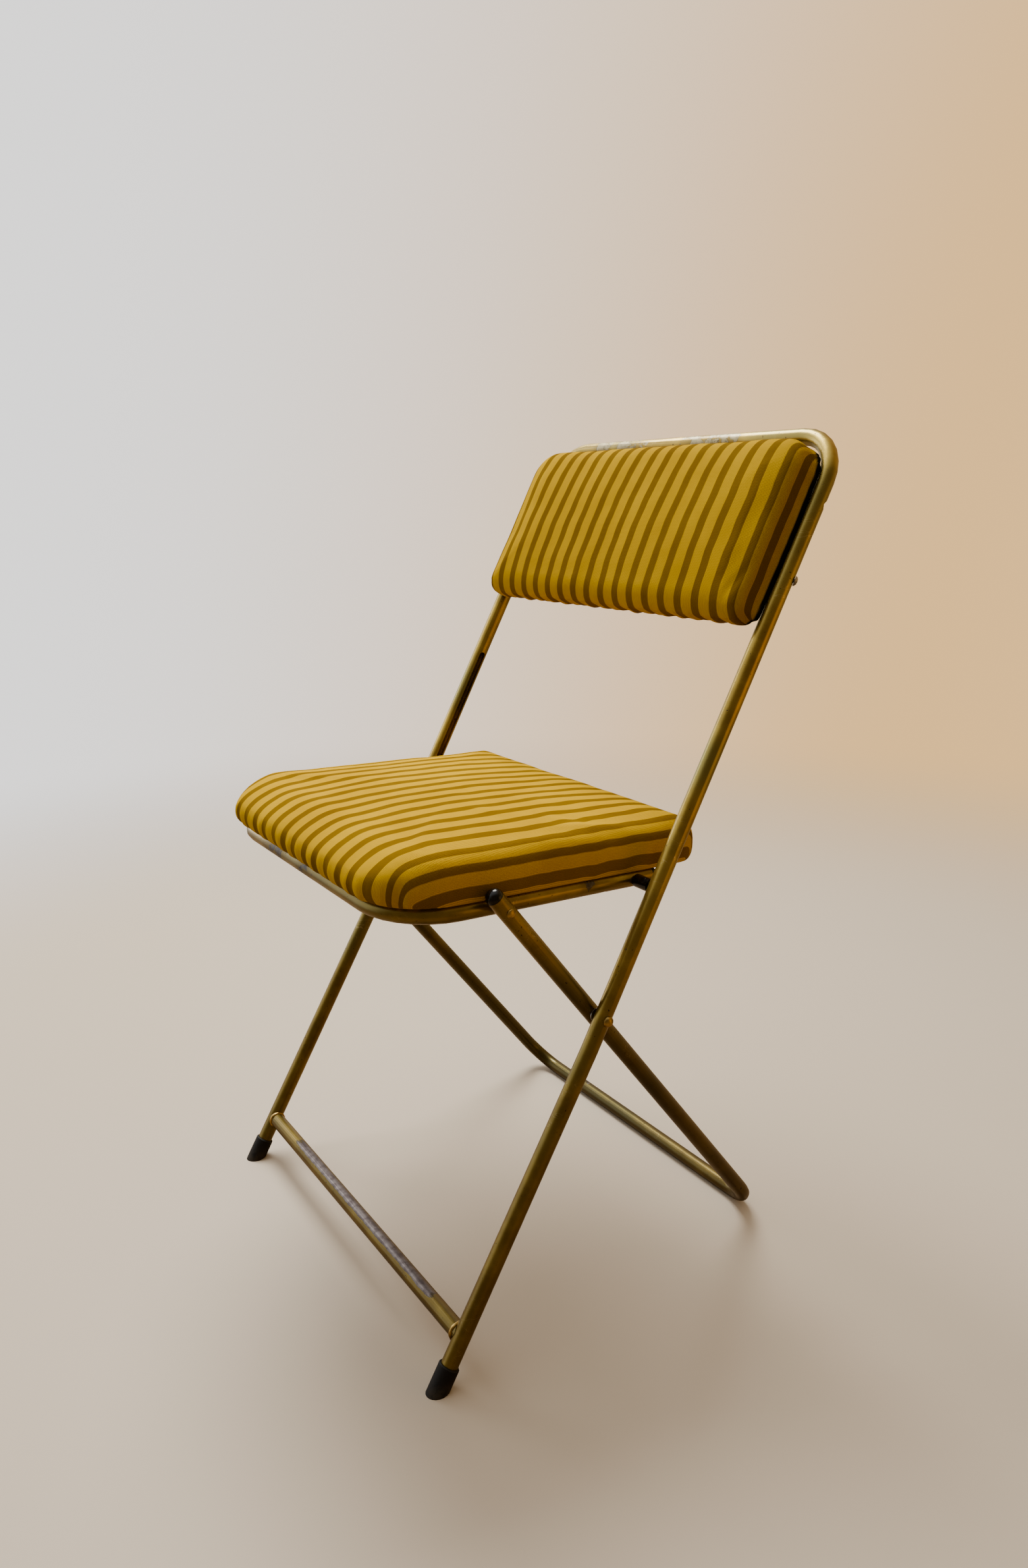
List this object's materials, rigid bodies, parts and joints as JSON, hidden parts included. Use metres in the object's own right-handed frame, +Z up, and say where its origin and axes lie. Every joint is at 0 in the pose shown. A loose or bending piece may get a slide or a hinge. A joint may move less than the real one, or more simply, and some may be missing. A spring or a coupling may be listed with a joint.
{
  "type": "folding chair",
  "caption": "Flat-folding chair of bent steel tube with crossed legs, a slotted back frame, and a padded seat and backrest in striped fabric.",
  "frame": {"origin": "on the floor, under the middle of the open chair's bounding box", "axes": "+Z up, -Y the way the sitter faces, +X to the sitter's left"},
  "size_m": [0.4518, 0.4842, 0.8073],
  "materials": {
    "gold_paint": "satin metallic gold-bronze paint, chipped and scratched with use",
    "brass": "domed rivet heads, slightly tarnished",
    "steel": "plain zinc-plated hardware, dulled",
    "black_plastic": "glossy black moulding",
    "rubber": "matte black rubber, dusty at the sole",
    "plywood": "unvarnished plywood",
    "striped_fabric": "ribbed upholstery weave, mustard with olive-brown stripes"
  },
  "bodies": {
    "back_frame": {"back_frame_tube": "gold_paint", "front_rung": "gold_paint", "front_foot_tip_left": "rubber", "front_foot_tip_right": "rubber", "backrest_board": "plywood", "backrest_cushion": "striped_fabric", "backrest_screw_lower_left": "steel", "backrest_screw_lower_right": "steel", "backrest_screw_upper_left": "steel", "backrest_screw_upper_right": "steel", "cross_pivot_rivet_left": "brass", "cross_pivot_rivet_right": "brass", "cross_pivot_washer_left": "steel", "cross_pivot_washer_right": "steel"},
    "rear_legs": {"rear_leg_tube": "gold_paint", "rear_leg_plug_left": "black_plastic", "rear_leg_plug_right": "black_plastic"},
    "seat": {"seat_frame_tube": "gold_paint", "seat_frame_plug_left": "black_plastic", "seat_frame_plug_right": "black_plastic", "seat_board": "plywood", "seat_cushion": "striped_fabric", "seat_pivot_rivet_left": "brass", "seat_pivot_rivet_right": "brass", "seat_pivot_washer_left": "steel", "seat_pivot_washer_right": "steel", "seat_slide_rod": "steel", "seat_slide_bush_left": "black_plastic", "seat_slide_bush_right": "black_plastic", "seat_screw_front_left": "steel", "seat_screw_front_right": "steel", "seat_screw_rear_left": "steel", "seat_screw_rear_right": "steel"}
  },
  "joints": [
    {"name": "rear_leg_fold", "type": "hinge", "parent": "back_frame", "child": "rear_legs", "pos_m": [0, -0.04811, 0.3005], "axis": [-1, 0, 0], "range_deg": [0, 64]},
    {"name": "seat_fold", "type": "hinge", "parent": "rear_legs", "child": "seat", "pos_m": [0, -0.13622, 0.41817], "axis": [1, 0, 0], "range_deg": [0, 125.6]}
  ],
  "couplings": [
    {"joint": "seat_fold", "follows": "rear_leg_fold", "ratio": 1.96}
  ]
}
